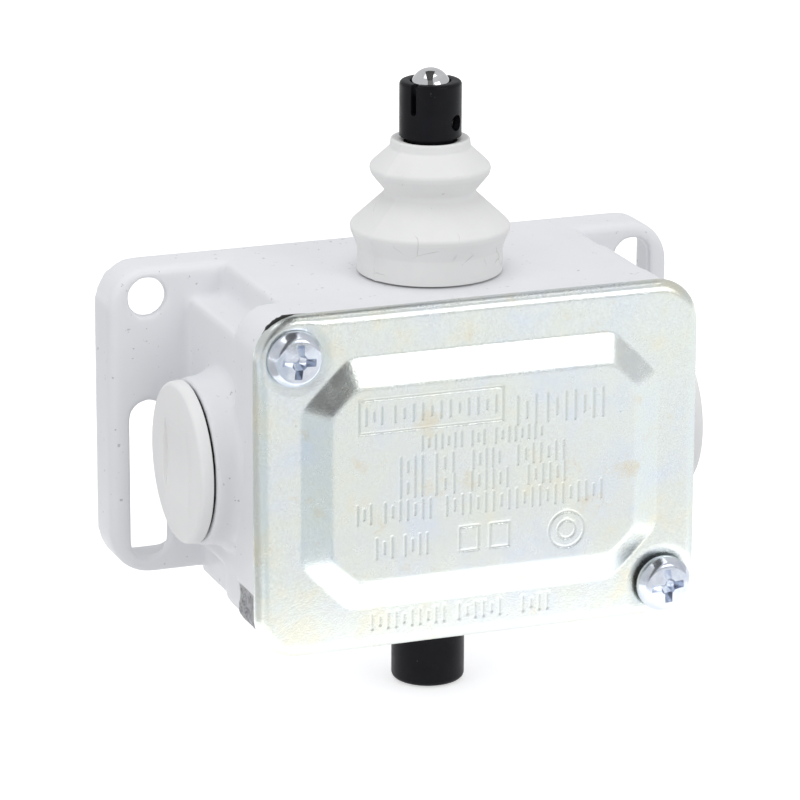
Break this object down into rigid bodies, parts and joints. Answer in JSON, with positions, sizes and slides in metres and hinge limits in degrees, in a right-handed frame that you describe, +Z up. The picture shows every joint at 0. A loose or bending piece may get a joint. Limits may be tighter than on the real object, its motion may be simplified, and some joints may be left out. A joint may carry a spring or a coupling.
{
  "type": "limit switch",
  "caption": "Plunger limit switch in a die-cast case with a zinc-plated cover, rubber bellows, ball-ended plunger, slotted mounting ears and blanked side cable entries.",
  "frame": {"origin": "middle of the flat back that bolts to the machine, in line with the plunger's axis in X", "axes": "+Z up along the plunger towards its ball, -Y out of the front cover, +Y into the machine that it is bolted to, +X to the right seen from the front"},
  "size_m": [0.098, 0.0506, 0.1026],
  "materials": {
    "case_paint": "light grey semi-gloss paint on a die casting",
    "zinc_sheet": "bright zinc plate with a pale iridescent passivation",
    "zinc_screw": "bright zinc plate",
    "black_plastic": "satin black moulding",
    "black_rubber": "matt black rubber",
    "white_rubber": "matt off-white rubber",
    "grey_plastic": "fine textured light grey moulding",
    "chrome_steel": "polished",
    "bright_steel": "turned",
    "spring_steel": "drawn wire",
    "brass": "plain",
    "silvered_copper": "silver faced",
    "dark_moulding": "thermoset"
  },
  "bodies": {
    "case": {"housing": "case_paint", "cover": "zinc_sheet", "cover_gasket": "black_rubber", "cover_screw_upper": "zinc_screw", "cover_screw_lower": "zinc_screw", "guide_bush": "brass", "bush_nut": "bright_steel", "rod_seal": "black_rubber", "plunger_boot": "white_rubber", "return_spring": "spring_steel", "lower_guide_cap": "black_plastic", "contact_block": "dark_moulding", "block_screw_left": "zinc_screw", "block_screw_right": "zinc_screw", "terminal_nc_left": "brass", "terminal_nc_right": "brass", "terminal_no_left": "brass", "terminal_no_right": "brass", "terminal_screw_nc_left": "zinc_screw", "terminal_screw_nc_right": "zinc_screw", "terminal_screw_no_left": "zinc_screw", "terminal_screw_no_right": "zinc_screw", "cable_plug_left": "grey_plastic", "cable_plug_right": "grey_plastic", "plug_seal_left": "black_rubber", "plug_seal_right": "black_rubber", "earth_clamp": "brass", "earth_screw": "zinc_screw"},
    "plunger": {"plunger_head": "black_plastic", "cross_pin": "bright_steel", "plunger_rod": "bright_steel", "retaining_clip": "spring_steel", "contact_carrier": "dark_moulding", "contact_spring": "spring_steel"},
    "ball": {"steel_ball": "chrome_steel"},
    "bridge": {"contact_bridge": "silvered_copper"}
  },
  "joints": [
    {"name": "plunger_travel", "type": "slide", "parent": "case", "child": "plunger", "axis": [0, 0, -1], "range_m": [0, 0.0055], "stiffness_N_per_m": 1200, "springref_m": -0.004, "deforming": ["return_spring", "plunger_boot"]},
    {"name": "ball_roll", "type": "hinge", "parent": "plunger", "child": "ball", "pos_m": [0, -0.0245, 0.05595], "axis": [1, 0, 0], "continuous": true},
    {"name": "bridge_shift", "type": "slide", "parent": "plunger", "child": "bridge", "axis": [0, 0, 1], "range_m": [0, 0.0033], "deforming": ["contact_spring"]}
  ],
  "couplings": [
    {"joint": "bridge_shift", "follows": "plunger_travel", "ratio": 0.6}
  ]
}
